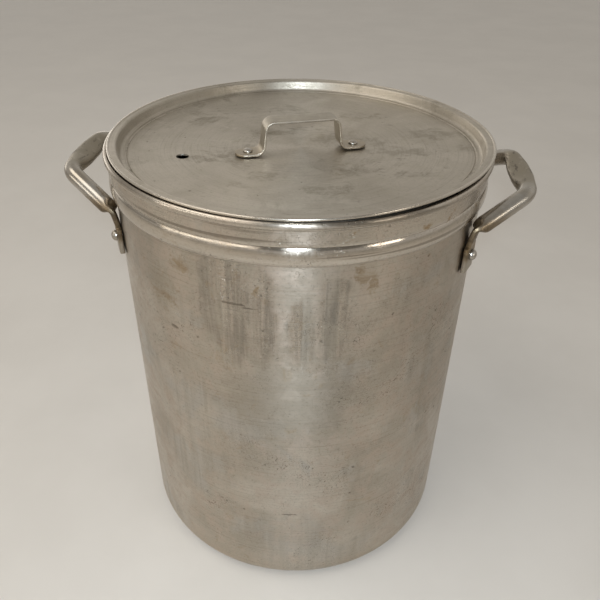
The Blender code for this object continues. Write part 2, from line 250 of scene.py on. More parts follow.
# Shallow dents in the wall: azimuth in degrees, then height, half width, half height and depth, in
# millimetres
WALL_DENTS = (
    (-108.0, 305.0, 11.0, 3.0, 0.7),
    (-122.0, 272.0, 7.0, 5.0, 0.5),
    (-61.0, 190.0, 12.0, 9.0, 0.35),
    (-95.0, 70.0, 16.0, 4.0, 0.3),
    (25.0, 140.0, 14.0, 10.0, 0.5),
    (78.0, 240.0, 9.0, 12.0, 0.5),
    (150.0, 95.0, 15.0, 7.0, 0.6),
    (-170.0, 210.0, 8.0, 8.0, 0.5),
)
# The wall's waviness: the noise's scale across and up, and its depth in millimetres
WALL_WAVES = ((9, 4, 0.22), (32, 14, 0.05))


def wall_radius(height):
    share = (height - CORNER) / (SHOULDER_FOOT - CORNER)
    return FOOT_RADIUS + (RADIUS - FOOT_RADIUS) * share


def dent_depth(point):
    """How far the wall is pushed in at a point, from the dents and from a slow waviness."""
    depth = 0.0
    for across_rate, up_rate, deep in WALL_WAVES:
        place = Vector((point.x * across_rate, point.y * across_rate, point.z * up_rate))
        depth += noise.noise(place) * deep * MM
    for azimuth, height, half_width, half_height, deep in WALL_DENTS:
        centre = Vector((cos(radians(azimuth)), sin(radians(azimuth)))) * RADIUS
        across = (Vector((point.x, point.y)) - centre).length / (half_width * MM)
        along = (point.z - height * MM) / (half_height * MM)
        depth += deep * MM * exp(-across * across - along * along)
    return depth


def worn_wall(point):
    """Dents fade out towards the floor, whose flat stays true, and towards the stiff shoulder."""
    above_floor = ease(point.z, 0.2 * CORNER, 3 * CORNER)
    below_shoulder = 1 - ease(point.z, SHOULDER_FOOT - STIFF_HEIGHT, SHOULDER_FOOT)
    fade = above_floor * below_shoulder
    flat = Vector((point.x, point.y, 0.0))
    if fade == 0 or flat.length < FOOT_RADIUS - CORNER:
        return point
    return point - flat.normalized() * dent_depth(point) * fade


def shell_outside():
    """The outer line of the sheet, from the axis at the underside up to the rolled rim."""
    corner = arc((FOOT_RADIUS - CORNER, CORNER), CORNER, CORNER, start=-90, end=0, points=17)
    line = straight(Vector((0.0, 0.0)), corner[0], points=FLOOR_STATIONS)
    line += corner[:-1]
    wall_top = Vector((RADIUS, SHOULDER_FOOT))
    line += straight(corner[-1], wall_top, points=WALL_STATIONS)
    line.append(wall_top)
    middle = (SHOULDER_FOOT + SHOULDER_TOP) / 2
    half = (SHOULDER_TOP - SHOULDER_FOOT) / 2
    line += arc((RADIUS, middle), SHOULDER_BULGE, half, start=-80, end=60, points=22)
    for above in GROOVE_FLOOR:
        line.append(Vector((BAND_RADIUS - GROOVE_DEPTH, SHOULDER_TOP + above)))
    band_foot = Vector((BAND_RADIUS, SHOULDER_TOP + GROOVE_HEIGHT))
    band_top = Vector((BAND_RADIUS, BAND_TOP))
    line += straight(band_foot, band_top, points=BAND_STATIONS)
    line.append(band_top)
    return line


def make_pot(material):
    outside = shell_outside()
    inside = offset_line(outside, SHEET)
    inside[0].x = 0.0
    rim_centre = (RIM_RADIUS, HEIGHT - RIM_HALF_HEIGHT)
    rim = arc(rim_centre, RIM_HALF_WIDTH, RIM_HALF_HEIGHT, start=235, end=-55, points=33)
    shape = bmesh.new()
    add_turned(shape, inside + rim + outside[::-1], POT_SEGMENTS, worn_wall)
    return finished("kettle_shell", shape, "kettle", ["pot_body"], material)


# Lid


def panel_height(radius):
    """Top of the lid's panel at a distance from the lid's centre, below the flange's top."""
    return -LID_DEPTH - LID_DISH * (1 - (min(radius, PANEL_RADIUS) / PANEL_RADIUS) ** 2)


def lid_top_line():
    """The lid's upper surface from its centre to the flange, with heights in the frame."""
    radii = [PANEL_RADIUS * i / PANEL_STATIONS for i in range(PANEL_STATIONS + 1)]
    line = [Vector((radius, panel_height(radius))) for radius in radii]
    groove = (PANEL_RADIUS + 1.5 * LID_GROOVE, -LID_DEPTH + 0.1 * MM)
    line += arc(groove, 1.2 * LID_GROOVE, 0.8 * LID_GROOVE, start=190, end=350, points=7)
    line.append(Vector((PANEL_RADIUS + 3 * LID_GROOVE, -LID_DEPTH)))
    cove = (FLANGE_RADIUS - 2 * LID_FILLET, LID_FILLET - LID_DEPTH)
    line += arc(cove, LID_FILLET, LID_FILLET, start=-90, end=-20, points=12)
    shoulder_centre = (FLANGE_RADIUS, -FLANGE_FILLET)
    shoulder = arc(shoulder_centre, FLANGE_FILLET, FLANGE_FILLET, start=160, end=90, points=9)
    line += straight(line[-1], shoulder[0], points=COVE_STATIONS)[1:]
    line += shoulder
    return [point + Vector((0.0, FLANGE_TOP)) for point in line]


def lid_rise(point):
    """How far the lid stands above its true place: it is bent up at one side."""
    along = (point.x - LID_CENTRE) * cos(LID_BEND_TURN) + point.y * sin(LID_BEND_TURN)
    share = max(0.0, along / LID_RADIUS - LID_BEND_START) / (1 - LID_BEND_START)
    return LID_BEND * share * share


# The lid's waviness: the noise's scale, a place in it and its depth in millimetres
LID_WAVES = ((14, 3.1, 0.35), (45, 7.7, 0.08))


def lid_wave(point):
    """The panel's slow unevenness, which fades out at its edge so that the lip stays clean."""
    radius = hypot(point.x - LID_CENTRE, point.y)
    fade = 1 - ease(radius, 0.8 * PANEL_RADIUS, PANEL_RADIUS)
    wave = 0.0
    for rate, seed, deep in LID_WAVES:
        wave += noise.noise(Vector((point.x * rate, point.y * rate, seed))) * deep * MM
    return wave * fade


def bent_lid(point):
    return point + Z_AXIS * (lid_rise(point) + lid_wave(point))


def make_lid(material):
    top = lid_top_line()
    under = offset_line(top, -LID_SHEET)
    under[0].x = 0.0
    bead_centre = (LID_RADIUS - LID_BEAD, FLANGE_TOP - LID_SHEET / 2)
    bead = arc(bead_centre, LID_BEAD, LID_BEAD, start=150, end=-150, points=22)
    shape = bmesh.new()
    add_turned(shape, top + bead + under[::-1], LID_SEGMENTS, bent_lid, LID_CENTRE)
    lid = finished("lid_sheet", shape, "lid_set", ["lid"], material)
    cut_vent(lid)
    return lid


def cut_vent(lid):
    """A round hole through the panel."""
    shape = bmesh.new()
    radii = {"radius1": VENT_RADIUS, "radius2": VENT_RADIUS}
    bmesh.ops.create_cone(shape, cap_ends=True, segments=VENT_SEGMENTS, depth=VENT_CUT, **radii)
    cutter = new_object("vent_cutter", shape)
    cutter.location = (VENT_PLACE.x, VENT_PLACE.y, FLANGE_TOP - LID_DEPTH)
    cut = lid.modifiers.new("vent", "BOOLEAN")
    cut.operation = "DIFFERENCE"
    cut.object = cutter
    bpy.context.view_layer.update()
    graph = bpy.context.evaluated_depsgraph_get()
    drilled = bpy.data.meshes.new_from_object(lid.evaluated_get(graph))
    lid.modifiers.clear()
    lid.data = drilled
    bpy.data.objects.remove(cutter)


# Lofted pieces


def signed_power(value, power):
    return copysign(abs(value) ** power, value)


def ring_points(centre, side, thick, section, points):
    """A superellipse with the section's half width along side and its half thickness along thick."""
    half_width, half_thickness, squareness = section
    placed = []
    for i in range(points):
        angle = 2 * pi * (i + 0.5) / points
        across = half_width * signed_power(cos(angle), 2 / squareness)
        through = half_thickness * signed_power(sin(angle), 2 / squareness)
        placed.append(centre + side * across + thick * through)
    return placed


def mixed(first, second, share):
    return tuple(a + (b - a) * share for a, b in zip(first, second))


def rounded_path(corners, radii):
    """The two ends and, at each corner between them, an arc of its radius."""
    path = [corners[0]]
    for before, corner, after, radius in zip(corners, corners[1:], corners[2:], radii):
        inward = (before - corner).normalized()
        outward = (after - corner).normalized()
        half_angle = inward.angle(outward) / 2
        reach = radius / tan(half_angle)
        centre = corner + (inward + outward).normalized() * radius / sin(half_angle)
        start = corner + inward * reach - centre
        end = corner + outward * reach - centre
        sweep = start.angle(end)
        for i in range(BEND_POINTS):
            share = i / (BEND_POINTS - 1)
            spoke = start * sin((1 - share) * sweep) + end * sin(share * sweep)
            path.append(centre + spoke / sin(sweep))
    path.append(corners[-1])
    return path


def filled(path, step):
    """The path with points added so that no run is much longer than step."""
    dense = [path[0]]
    for before, after in zip(path, path[1:]):
        runs = max(1, round((after - before).length / step))
        dense += [before.lerp(after, (i + 1) / runs) for i in range(runs)]
    return dense


def path_direction(path, index):
    before = path[max(index - 1, 0)]
    after = path[min(index + 1, len(path) - 1)]
    return (after - before).normalized()


def path_lengths(path):
    lengths = [0.0]
    for before, after in zip(path, path[1:]):
        lengths.append(lengths[-1] + (after - before).length)
    return lengths


def tab_angle():
    return asin(TAB_SPREAD / RADIUS)


def tab_middle():
    """Distance from the kettle's axis to the middle of the tab's thickness."""
    return wall_radius(TAB_TOP) + GAP + TAB_SECTION[1]


def handle_corners():
    """Corners of half the right handle's centre line, from the tab's foot to the grip's middle."""
    outward = Vector((cos(tab_angle()), -sin(tab_angle()), 0.0))
    foot = outward * tab_middle()
    return [
        foot + Z_AXIS * TAB_FOOT,
        foot + Z_AXIS * (TAB_TOP + TAB_SHOULDER),
        foot + outward * ROOT_LEAN + Z_AXIS * ROOT_HEIGHT,
        Vector((GRIP_REACH, -GRIP_HALF_LENGTH, GRIP_HEIGHT)),
        Vector((GRIP_REACH, 0.0, GRIP_HEIGHT)),
    ]


def handle_rings(shrink):
    """The sections along half a handle, made smaller by shrink to give the tube's inside."""
    corners = handle_corners()
    path = filled(rounded_path(corners, [TAB_BEND, ROOT_BEND, GRIP_BEND]), STATION_STEP)
    lengths = path_lengths(path)
    leg = (corners[3] - corners[2]).normalized()
    handle_normal = leg.cross(Y_AXIS).normalized()
    tangent = Vector((sin(tab_angle()), cos(tab_angle()), 0.0))
    tab_length = TAB_TOP - TAB_FOOT
    root = tab_length + (corners[2] - corners[1]).length
    grip_start = lengths[-1] - GRIP_HALF_LENGTH
    rings = []
    for i, centre in enumerate(path):
        at = lengths[i]
        direction = Z_AXIS if at < tab_length else path_direction(path, i)
        if i == len(path) - 1:
            direction = Y_AXIS
        roundness = ease(at, root + ROOT_ROUNDING[0], root + ROOT_ROUNDING[1])
        shoulder = ease(at, tab_length - TAB_SHOULDER, tab_length + TAB_SHOULDER)
        flatness = ease(at, grip_start + GRIP_FLATTENING[0], grip_start + GRIP_FLATTENING[1])
        side = tangent.lerp(handle_normal.cross(direction), roundness)
        side = (side - direction * side.dot(direction)).normalized()
        section = mixed(mixed(TAB_SECTION, NECK_SECTION, shoulder), TUBE_SECTION, roundness)
        half_width, half_thickness, squareness = mixed(section, GRIP_SECTION, flatness)
        section = (half_width - shrink, half_thickness - shrink, squareness)
        rings.append(ring_points(centre, side, direction.cross(side), section, TUBE_POINTS))
    return rings


def whole_loft(shape, half_rings, flip):
    """A loft through the rings and their mirror images; gives its first and last rings."""
    flipped = [[point * flip for point in points] for points in reversed(half_rings[:-1])]
    rows = [add_ring(shape, points) for points in half_rings + flipped]
    for low, high in zip(rows, rows[1:]):
        bridge(shape, low, high)
    return rows[0], rows[-1]


def make_side_handle(side, turn, material):
    """A hollow tube open only at the seam in each tab's end."""
    shape = bmesh.new()
    outer = whole_loft(shape, handle_rings(0.0), FLIP_Y)
    inner = whole_loft(shape, handle_rings(TUBE_WALL), FLIP_Y)
    for outer_end, inner_end in zip(outer, inner):
        bridge(shape, outer_end, inner_end)
    bmesh.ops.transform(shape, matrix=Matrix.Rotation(turn, 4, "Z"), verts=shape.verts)
    return finished(f"{side}_handle_tube", shape, "kettle", [f"{side}_handle"], material)


def strap_rings():
    """The sections along half the strap, whose foot's end is rounded in plan."""
    half_width, half_thickness, squareness = STRAP_SECTION
    bar = STRAP_HEIGHT - half_thickness
    corners = [
        Vector((-STRAP_END, 0.0, half_thickness)),
        Vector((-STRAP_LEG_FOOT, 0.0, half_thickness)),
        Vector((-STRAP_LEG_TOP, 0.0, bar)),
        Vector((0.0, 0.0, bar)),
    ]
    path = rounded_path(corners, [STRAP_BEND, STRAP_BEND])
    turns = [radians(90 * (i + 1) / STRAP_FOOT_POINTS) for i in range(STRAP_FOOT_POINTS)]
    foot = [corners[0] + Vector((half_width * (1 - cos(turn)), 0.0, 0.0)) for turn in turns]
    widths = [half_width * sin(turn) for turn in turns]
    path = foot + filled([foot[-1], *path[1:]], STATION_STEP)[1:]
    widths += [half_width] * (len(path) - len(foot))
    rings = []
    for i, centre in enumerate(path):
        direction = path_direction(path, i) if 0 < i < len(path) - 1 else X_AXIS
        section = (widths[i], half_thickness, squareness)
        rings.append(ring_points(centre, Y_AXIS, direction.cross(Y_AXIS), section, STRAP_POINTS))
    return rings


def make_strap(material):
    """The bent strap across the lid, with a closed face at each end."""
    shape = bmesh.new()
    for end in whole_loft(shape, strap_rings(), FLIP_X):
        shape.faces.new(end)
    place = Matrix.Translation((STRAP_PLACE.x, STRAP_PLACE.y, STRAP_LOW.z))
    matrix = place @ Matrix.Rotation(STRAP_TURN, 4, "Z")
    bmesh.ops.transform(shape, matrix=matrix, verts=shape.verts)
    return finished("lid_strap", shape, "lid_set", ["lid_handle"], material)


# Rivets


def make_rivet(node, head, tail, grip, matrix, body, material):
    """A domed head over a shank and a flat tail, with a faint flat on the dome from setting."""
    head_radius, head_height = head
    tail_radius, tail_height = tail
    edge = RIVET_EDGE
    seat = grip + GAP
    dome = arc((0.0, seat + edge), head_radius, head_height - edge, start=84, end=0, points=14)
    dome[0].y = dome[1].y
    profile = [Vector((0.0, dome[0].y)), *dome]
    profile.append(Vector((head_radius, seat)))
    profile.append(Vector((SHANK_RADIUS, seat)))
    profile.append(Vector((SHANK_RADIUS, -GAP)))
    tail_top = (tail_radius - edge, -GAP - edge)
    tail_foot = (tail_radius - 2 * edge, -GAP - tail_height + edge)
    profile += arc(tail_top, edge, edge, start=90, end=0, points=4)
    profile += arc(tail_foot, edge, edge, start=0, end=-90, points=4)
    profile.append(Vector((0.0, -GAP - tail_height)))
    shape = bmesh.new()
    add_turned(shape, profile, RIVET_SEGMENTS, lambda point: point)
    bmesh.ops.transform(shape, matrix=matrix, verts=shape.verts)
    return finished(f"{node}_head", shape, body, [node], material)


def side_rivet_matrix(azimuth):
    """At the wall's inner face, with Z pointing out through the wall and the tab."""
    distance = wall_radius(HANDLE_RIVET_HEIGHT) - SHEET
    place = Vector((cos(azimuth) * distance, sin(azimuth) * distance, HANDLE_RIVET_HEIGHT))
    outward = Matrix.Rotation(azimuth, 4, "Z") @ Matrix.Rotation(pi / 2, 4, "Y")
    return Matrix.Translation(place) @ outward


def make_side_rivets(material):
    stack = SHEET + GAP + 2 * TAB_SECTION[1]
    for side, azimuth, front in (("right", 0.0, -tab_angle()), ("left", pi, tab_angle())):
        for end, offset in (("front", front), ("rear", -front)):
            node = f"{side}_handle_{end}_rivet"
            matrix = side_rivet_matrix(azimuth + offset)
            make_rivet(node, HANDLE_HEAD, HANDLE_TAIL, stack, matrix, "kettle", material)


def make_lid_rivets(material):
    foot_top = STRAP_LOW.z + 2 * STRAP_SECTION[1]
    along = Vector((cos(STRAP_TURN), sin(STRAP_TURN)))
    for end, side in (("left", -1), ("right", 1)):
        spot = Vector((STRAP_PLACE.x, STRAP_PLACE.y)) + along * STRAP_RIVET * side
        distance = hypot(spot.x - LID_CENTRE, spot.y)
        under = FLANGE_TOP + panel_height(distance) - LID_SHEET
        matrix = Matrix.Translation((spot.x, spot.y, under))
        node = f"lid_handle_{end}_rivet"
        make_rivet(node, LID_HEAD, LID_TAIL, foot_top - under, matrix, "lid_set", material)


# Materials

# Drops a vector's Z, stretches a noise into lines, and turns a tangent by a quarter
FLATTEN = (1.0, 1.0, 0.0)
SCRATCH_STRETCH = (260.0, 260.0, 9.0)
ACROSS_RINGS = 0.25


class Graph:
    """A tree of shader nodes, with short calls for the patterns that the materials are made of."""

    def __init__(self, tree, coordinates="Object", centre=(0.0, 0.0, 0.0)):
        self.tree = tree
        place = self.add("ShaderNodeTexCoord", {}).outputs[coordinates]
        self.point = self.vector("SUBTRACT", place, centre)

    def add(self, kind, inputs, **settings):
        made = self.tree.nodes.new(kind)
        for key, value in settings.items():
            setattr(made, key, value)
        for key, value in inputs.items():
            self.feed(made.inputs[key], value)
        return made

    def feed(self, socket, value):
        if isinstance(value, bpy.types.NodeSocket):
            self.tree.links.new(value, socket)
        else:
            socket.default_value = value

    def vector(self, operation, first, second):
        return self.add("ShaderNodeVectorMath", {0: first, 1: second}, operation=operation).outputs[0]

    def math(self, operation, first, second=0.0):
        return self.add("ShaderNodeMath", {0: first, 1: second}, operation=operation).outputs[0]

    def fold(self, operation, values):
        """Joins the values one after another by the same operation."""
        result = values[0]
        for value in values[1:]:
            result = self.math(operation, result, value)
        return result

    def product(self, *values):
        return self.fold("MULTIPLY", values)

    def total(self, *values):
        return self.fold("ADD", values)

    def most(self, *values):
        return self.fold("MAXIMUM", values)

    def part(self, axis, vector=None):
        return self.add("ShaderNodeSeparateXYZ", {0: vector or self.point}).outputs[axis]

    def radius(self):
        """Distance from the Z axis."""
        return self.flat_length(self.point)

    def flat_length(self, vector):
        flat = self.vector("MULTIPLY", vector, FLATTEN)
        return self.add("ShaderNodeVectorMath", {0: flat}, operation="LENGTH").outputs["Value"]

    def around(self, round_scale, line_scale):
        """Coordinates that wrap round the Z axis without a seam. A small round_scale draws rings, and a
        small line_scale draws lines that run up the wall and across the lid towards its centre."""
        flat = self.vector("MULTIPLY", self.point, FLATTEN)
        turn = self.add("ShaderNodeVectorMath", {0: flat}, operation="NORMALIZE").outputs[0]
        turn = self.vector("MULTIPLY", turn, (round_scale, round_scale, 0.0))
        along = self.product(self.total(self.radius(), self.part("Z")), line_scale)
        line = self.add("ShaderNodeCombineXYZ", {"Z": along}).outputs[0]
        return self.vector("ADD", turn, line)

    def noise(self, vector, scale, detail=3.0, rough=0.55, distortion=0.0):
        inputs = {"Vector": vector, "Scale": scale, "Detail": detail, "Roughness": rough}
        inputs["Distortion"] = distortion
        return self.add("ShaderNodeTexNoise", inputs).outputs[0]

    def turned_noise(self, round_scale, line_scale, **settings):
        """Noise drawn out round the Z axis or along the lines that meet it."""
        return self.noise(self.around(round_scale, line_scale), scale=1.0, **settings)

    def raggedness(self, scale, detail, amount):
        """Noise about 0, spread over amount at most, to break up the edges of marks."""
        value = self.noise(self.point, scale=scale, detail=detail, rough=0.7)
        return self.total(self.product(value, amount), -amount / 2)

    def spots(self, scale, share):
        """Small uneven spots, 1 at their middle, in about the given share of the cells."""
        inputs = {"Vector": self.point, "Scale": 4 * scale}
        shift = self.add("ShaderNodeTexNoise", inputs).outputs["Color"]
        ragged = self.vector("ADD", self.point, self.vector("MULTIPLY", shift, (0.4 / scale,) * 3))
        cells = self.add("ShaderNodeTexVoronoi", {"Vector": ragged, "Scale": scale})
        pick = self.part(0, cells.outputs["Color"])
        size = self.step(self.part(1, cells.outputs["Color"]), 0.0, 1.0, low=0.05, high=0.20)
        near = self.step(self.math("DIVIDE", cells.outputs["Distance"], size), 1.0, 0.4)
        return self.product(near, self.math("LESS_THAN", pick, share))

    def scratches(self, tilt, seed, width):
        """Long thin lines along one tilted direction, where a stretched noise crosses its middle."""
        inputs = {"Vector": self.point, "Rotation": tilt, "Location": (seed, seed, seed)}
        place = self.add("ShaderNodeMapping", inputs).outputs[0]
        stretched = self.vector("MULTIPLY", place, SCRATCH_STRETCH)
        value = self.noise(stretched, scale=1.0, detail=1.0, rough=0.4)
        off = self.math("ABSOLUTE", self.math("SUBTRACT", value, 0.5))
        patches = self.step(self.noise(place, scale=18.0, detail=2.0), 0.54, 0.62)
        return self.product(self.step(off, width, 0.3 * width), patches)

    def unrolled(self):
        """The wall laid flat, in metres: X is the arc round the Z axis and Y is the height."""
        turn = self.math("ARCTAN2", self.part("Y"), self.part("X"))
        inputs = {"X": self.product(turn, RADIUS), "Y": self.part("Z")}
        return self.add("ShaderNodeCombineXYZ", inputs).outputs[0]

    def patches(self, vector, ragged, places):
        """Marks at places on the flat, each a centre and a half size; ragged breaks up their edges."""
        insides = []
        for centre, half_size in places:
            from_centre = self.vector("SUBTRACT", vector, (*centre, 0.0))
            distance = self.flat_length(self.vector("DIVIDE", from_centre, (*half_size, 1.0)))
            insides.append(self.step(self.total(distance, ragged), 1.3, 0.7))
        return self.most(0.0, *insides)

    def step(self, value, start, end, low=0.0, high=1.0):
        """A smooth rise from low to high as value goes from start to end, clamped."""
        inputs = {0: value, 1: start, 2: end, 3: low, 4: high}
        made = self.add("ShaderNodeMapRange", inputs, interpolation_type="SMOOTHSTEP", clamp=True)
        return made.outputs[0]

    def mix(self, factor, first, second):
        made = self.add("ShaderNodeMix", {0: factor}, data_type="RGBA")
        for socket, value in ((6, first), (7, second)):
            self.feed(made.inputs[socket], (*value, 1.0) if isinstance(value, tuple) else value)
        return made.outputs[2]

    def layers(self, base, *layers):
        """Each layer is a colour and how much of it is laid over the ones before."""
        for colour, amount in layers:
            base = self.mix(amount, base, colour)
        return base

    def bump(self, *layers):
        """Each layer is a height between 0 and 1 and its full depth in metres."""
        normal = None
        for height, distance in layers:
            inputs = {"Height": height, "Distance": distance}
            if normal:
                inputs["Normal"] = normal
            normal = self.add("ShaderNodeBump", inputs).outputs[0]
        return normal


def material_graph(name, centre=(0.0, 0.0, 0.0)):
    """A new material, in metres of the object's own space, and its graph."""
    material = bpy.data.materials.new(name)
    material.use_nodes = True
    return material, Graph(material.node_tree, "Object", tuple(centre))


def connect(graph, colour, roughness, normal, metallic=1.0, anisotropy=0.0):
    """Feeds the material's shader; anisotropy draws highlights out across the rings round Z."""
    shader = graph.tree.nodes["Principled BSDF"]
    graph.feed(shader.inputs["Base Color"], colour)
    graph.feed(shader.inputs["Roughness"], roughness)
    graph.feed(shader.inputs["Normal"], normal)
    shader.inputs["Metallic"].default_value = metallic
    if anisotropy:
        tangent = graph.add("ShaderNodeTangent", {}, direction_type="RADIAL", axis="Z").outputs[0]
        graph.feed(shader.inputs["Tangent"], tangent)
        shader.inputs["Anisotropic"].default_value = anisotropy
        shader.inputs["Anisotropic Rotation"].default_value = ACROSS_RINGS


# Colours of bare, dull and stained metal
BRIGHT = (0.60, 0.55, 0.48)
DULL = (0.37, 0.33, 0.27)
OXIDE = (0.47, 0.45, 0.415)
ROSY = (0.50, 0.425, 0.355)
OLIVE = (0.46, 0.425, 0.345)
BROWN = (0.34, 0.245, 0.135)
DARK = (0.11, 0.09, 0.065)
SMUDGE = (0.19, 0.165, 0.115)
GRIP_BROWN = (0.27, 0.235, 0.175)
WET_GREY = (0.20, 0.185, 0.16)
RUST = (0.27, 0.20, 0.105)


def on_wall(*marks):
    """Marks on the wall: each one's turn in degrees, then its height and half sizes in millimetres."""
    return [
        ((radians(turn) * RADIUS, height * MM), (half_width * MM, half_height * MM))
        for turn, height, half_width, half_height in marks
    ]


def on_lid(*marks):
    """Marks on the lid: each one's x and y from its centre and its half sizes, in millimetres."""
    return [
        ((x * MM, y * MM), (half_width * MM, half_height * MM))
        for x, y, half_width, half_height in marks
    ]


WET_MARKS = on_wall(
    (-105, 326, 22, 40),
    (-103, 296, 13, 30),
    (-94, 312, 10, 40),
    (-75, 312, 12, 38),
    (-84, 300, 10, 30),
)
DULL_MARKS = on_wall((-88, 236, 52, 38))
RUST_MARKS = on_wall(
    (-69, 357, 4, 4),
    (-65, 341, 4, 10),
    (-67, 352, 8, 10),
    (-126, 316, 14, 18),
    (-118, 345, 10, 6),
)
SCRAPES = on_wall(
    (-102.5, 324, 9, 1.0),
    (-98, 322, 5, 0.6),
    (-123, 284, 4, 1.4),
    (-87, 97, 7, 1.0),
)
LID_SMUDGES = on_lid(
    (112, 38, 24, 12),
    (138, 2, 7, 8),
    (86, -4, 28, 9),
    (40, 16, 34, 12),
    (48, 82, 20, 8),
    (91, -52, 16, 7),
    (42, -50, 16, 8),
    (28, -88, 18, 8),
    (-22, -66, 14, 8),
    (-78, -40, 13, 7),
    (-30, 30, 18, 7),
)


def shell_patterns(graph):
    """The patterns that the shell's colour, roughness and bump share."""
    wear = SimpleNamespace()
    wear.height = graph.part("Z")
    wear.wall = graph.unrolled()
    aside = graph.vector("ADD", graph.point, (7.0, 0.0, 0.0))
    wear.clouds = graph.noise(graph.point, scale=13.0, detail=5.0, rough=0.62, distortion=0.4)
    wear.patches = graph.noise(aside, scale=16.0, detail=4.0, rough=0.6, distortion=0.3)
    wear.mottle = graph.noise(graph.point, scale=62.0, detail=6.0, rough=0.7, distortion=0.7)
    wear.grain = graph.noise(graph.point, scale=520.0, rough=0.75)
    wear.drips = graph.turned_noise(16.0, 6.0, rough=0.6, distortion=0.5)
    wear.threads = graph.turned_noise(95.0, 5.0, rough=0.7)
    wear.rings = graph.turned_noise(1.5, 1000.0, rough=0.75)
    wear.bands = graph.turned_noise(1.0, 330.0, detail=2.0, rough=0.6)
    wear.rubbed = graph.step(wear.height, SHOULDER_FOOT - 1 * MM, SHOULDER_FOOT + 5 * MM)
    under_groove = graph.step(wear.height, SHOULDER_TOP + 2 * MM, SHOULDER_TOP - 2 * MM)
    wear.bead = graph.product(wear.rubbed, under_groove)
    wear.foot = graph.step(wear.height, 60 * MM, 2 * MM)
    below = graph.math("SUBTRACT", 1.0, wear.rubbed)
    ragged = graph.raggedness(scale=60.0, detail=4.0, amount=1.6)
    wear.soaked = graph.product(graph.patches(wear.wall, ragged, WET_MARKS), below)
    wear.dull = graph.product(graph.patches(wear.wall, ragged, DULL_MARKS), below)
    damp = graph.product(graph.step(wear.patches, 0.46, 0.62), below, 0.7)
    wear.wet = graph.most(damp, wear.soaked)
    wear.frayed = graph.raggedness(scale=300.0, detail=3.0, amount=2.4)
    wear.marks = graph.most(
        graph.product(graph.spots(scale=95.0, share=0.16), 0.6),
        graph.product(graph.spots(scale=300.0, share=0.06), 0.45),
        graph.product(graph.scratches(tilt=(1.35, 0.1, 0.9), seed=8.0, width=0.012), 0.7),
        graph.product(graph.patches(wear.wall, wear.frayed, SCRAPES), 0.6),
    )
    return wear


def shell_colour(graph, wear):
    """Drips, stains, rust and scratches over cloudy metal, brighter where it is rubbed."""
    runs = graph.turned_noise(30.0, 9.0, detail=5.0, rough=0.62, distortion=0.9)
    runs = graph.product(wear.soaked, graph.step(runs, 0.38, 0.64, high=0.55))
    blot_noise = graph.noise(graph.point, scale=34.0, detail=5.0, rough=0.72, distortion=0.9)
    blots = graph.step(blot_noise, 0.58, 0.72)
    rust_noise = graph.noise(graph.point, scale=52.0, detail=4.0, rough=0.6, distortion=0.4)
    rust = graph.step(rust_noise, 0.64, 0.74)
    rust_marks = graph.patches(wear.wall, wear.frayed, RUST_MARKS)
    under_shoulder = graph.step(wear.height, SHOULDER_FOOT - 45 * MM, SHOULDER_FOOT - 4 * MM)
    scratches = graph.scratches(tilt=(0.5, 0.25, 0.1), seed=3.0, width=0.016)
    return graph.layers(
        graph.mix(graph.step(wear.clouds, 0.33, 0.66, low=0.15, high=0.75), DULL, BRIGHT),
        (ROSY, graph.step(wear.mottle, 0.40, 0.66, high=0.85)),
        (OXIDE, graph.step(wear.patches, 0.52, 0.66, high=0.7)),
        (DULL, graph.product(wear.wet, graph.step(wear.drips, 0.40, 0.66, high=0.7))),
        (DULL, graph.product(wear.wet, graph.step(wear.threads, 0.42, 0.75, high=0.25))),
        (WET_GREY, graph.product(runs, graph.step(wear.mottle, 0.3, 0.6, low=0.3, high=1.0))),
        (DULL, graph.product(wear.dull, 0.7)),
        (BRIGHT, graph.total(graph.product(wear.rubbed, 0.25), graph.product(wear.bead, 0.45))),
        (BRIGHT, graph.product(wear.foot, 0.4)),
        (BROWN, graph.product(blots, graph.total(graph.product(wear.foot, 0.2), 0.35))),
        (BROWN, graph.product(rust, graph.total(graph.product(under_shoulder, 0.65), 0.25))),
        (RUST, graph.product(rust_marks, graph.step(wear.mottle, 0.44, 0.66, low=0.1, high=0.6))),
        (BROWN, graph.product(wear.foot, wear.foot, 0.22)),
        (DARK, graph.step(wear.rings, 0.5, 0.8, high=0.30)),
        (DARK, graph.product(wear.rubbed, graph.step(wear.bands, 0.54, 0.64, high=0.5))),
        (DARK, graph.step(wear.grain, 0.5, 0.85, high=0.6)),
        (BRIGHT, graph.product(scratches, 0.3)),
        (DARK, wear.marks),
    )


def shell_roughness(graph, wear):
    return graph.total(
        graph.step(wear.clouds, 0.3, 0.7, low=0.42, high=0.35),
        graph.step(wear.mottle, 0.4, 0.8, low=-0.03, high=0.13),
        graph.product(wear.wet, graph.step(wear.drips, 0.42, 0.62, low=-0.06, high=0.08)),
        graph.step(wear.rings, 0.3, 0.7, low=-0.04, high=0.04),
        graph.product(wear.rubbed, -0.1),
        graph.product(wear.bead, -0.1),
        graph.product(wear.dull, 0.10),
        graph.product(wear.soaked, -0.05),
        graph.product(wear.marks, 0.2),
    )


def shell_material():
    """Spun wall: fine rings, drips, stains, pits and scratches."""
    material, graph = material_graph("worn_spun_aluminium")
    wear = shell_patterns(graph)
    band_strength = graph.total(graph.product(wear.rubbed, 0.7), 0.3)
    normal = graph.bump(
        (wear.rings, 0.025 * MM),
        (graph.product(wear.bands, band_strength), 0.04 * MM),
        (wear.threads, 0.012 * MM),
        (wear.grain, 0.016 * MM),
        (wear.mottle, 0.08 * MM),
        (wear.marks, -0.12 * MM),
    )
    connect(graph, shell_colour(graph, wear), shell_roughness(graph, wear), normal, anisotropy=0.8)
    return material


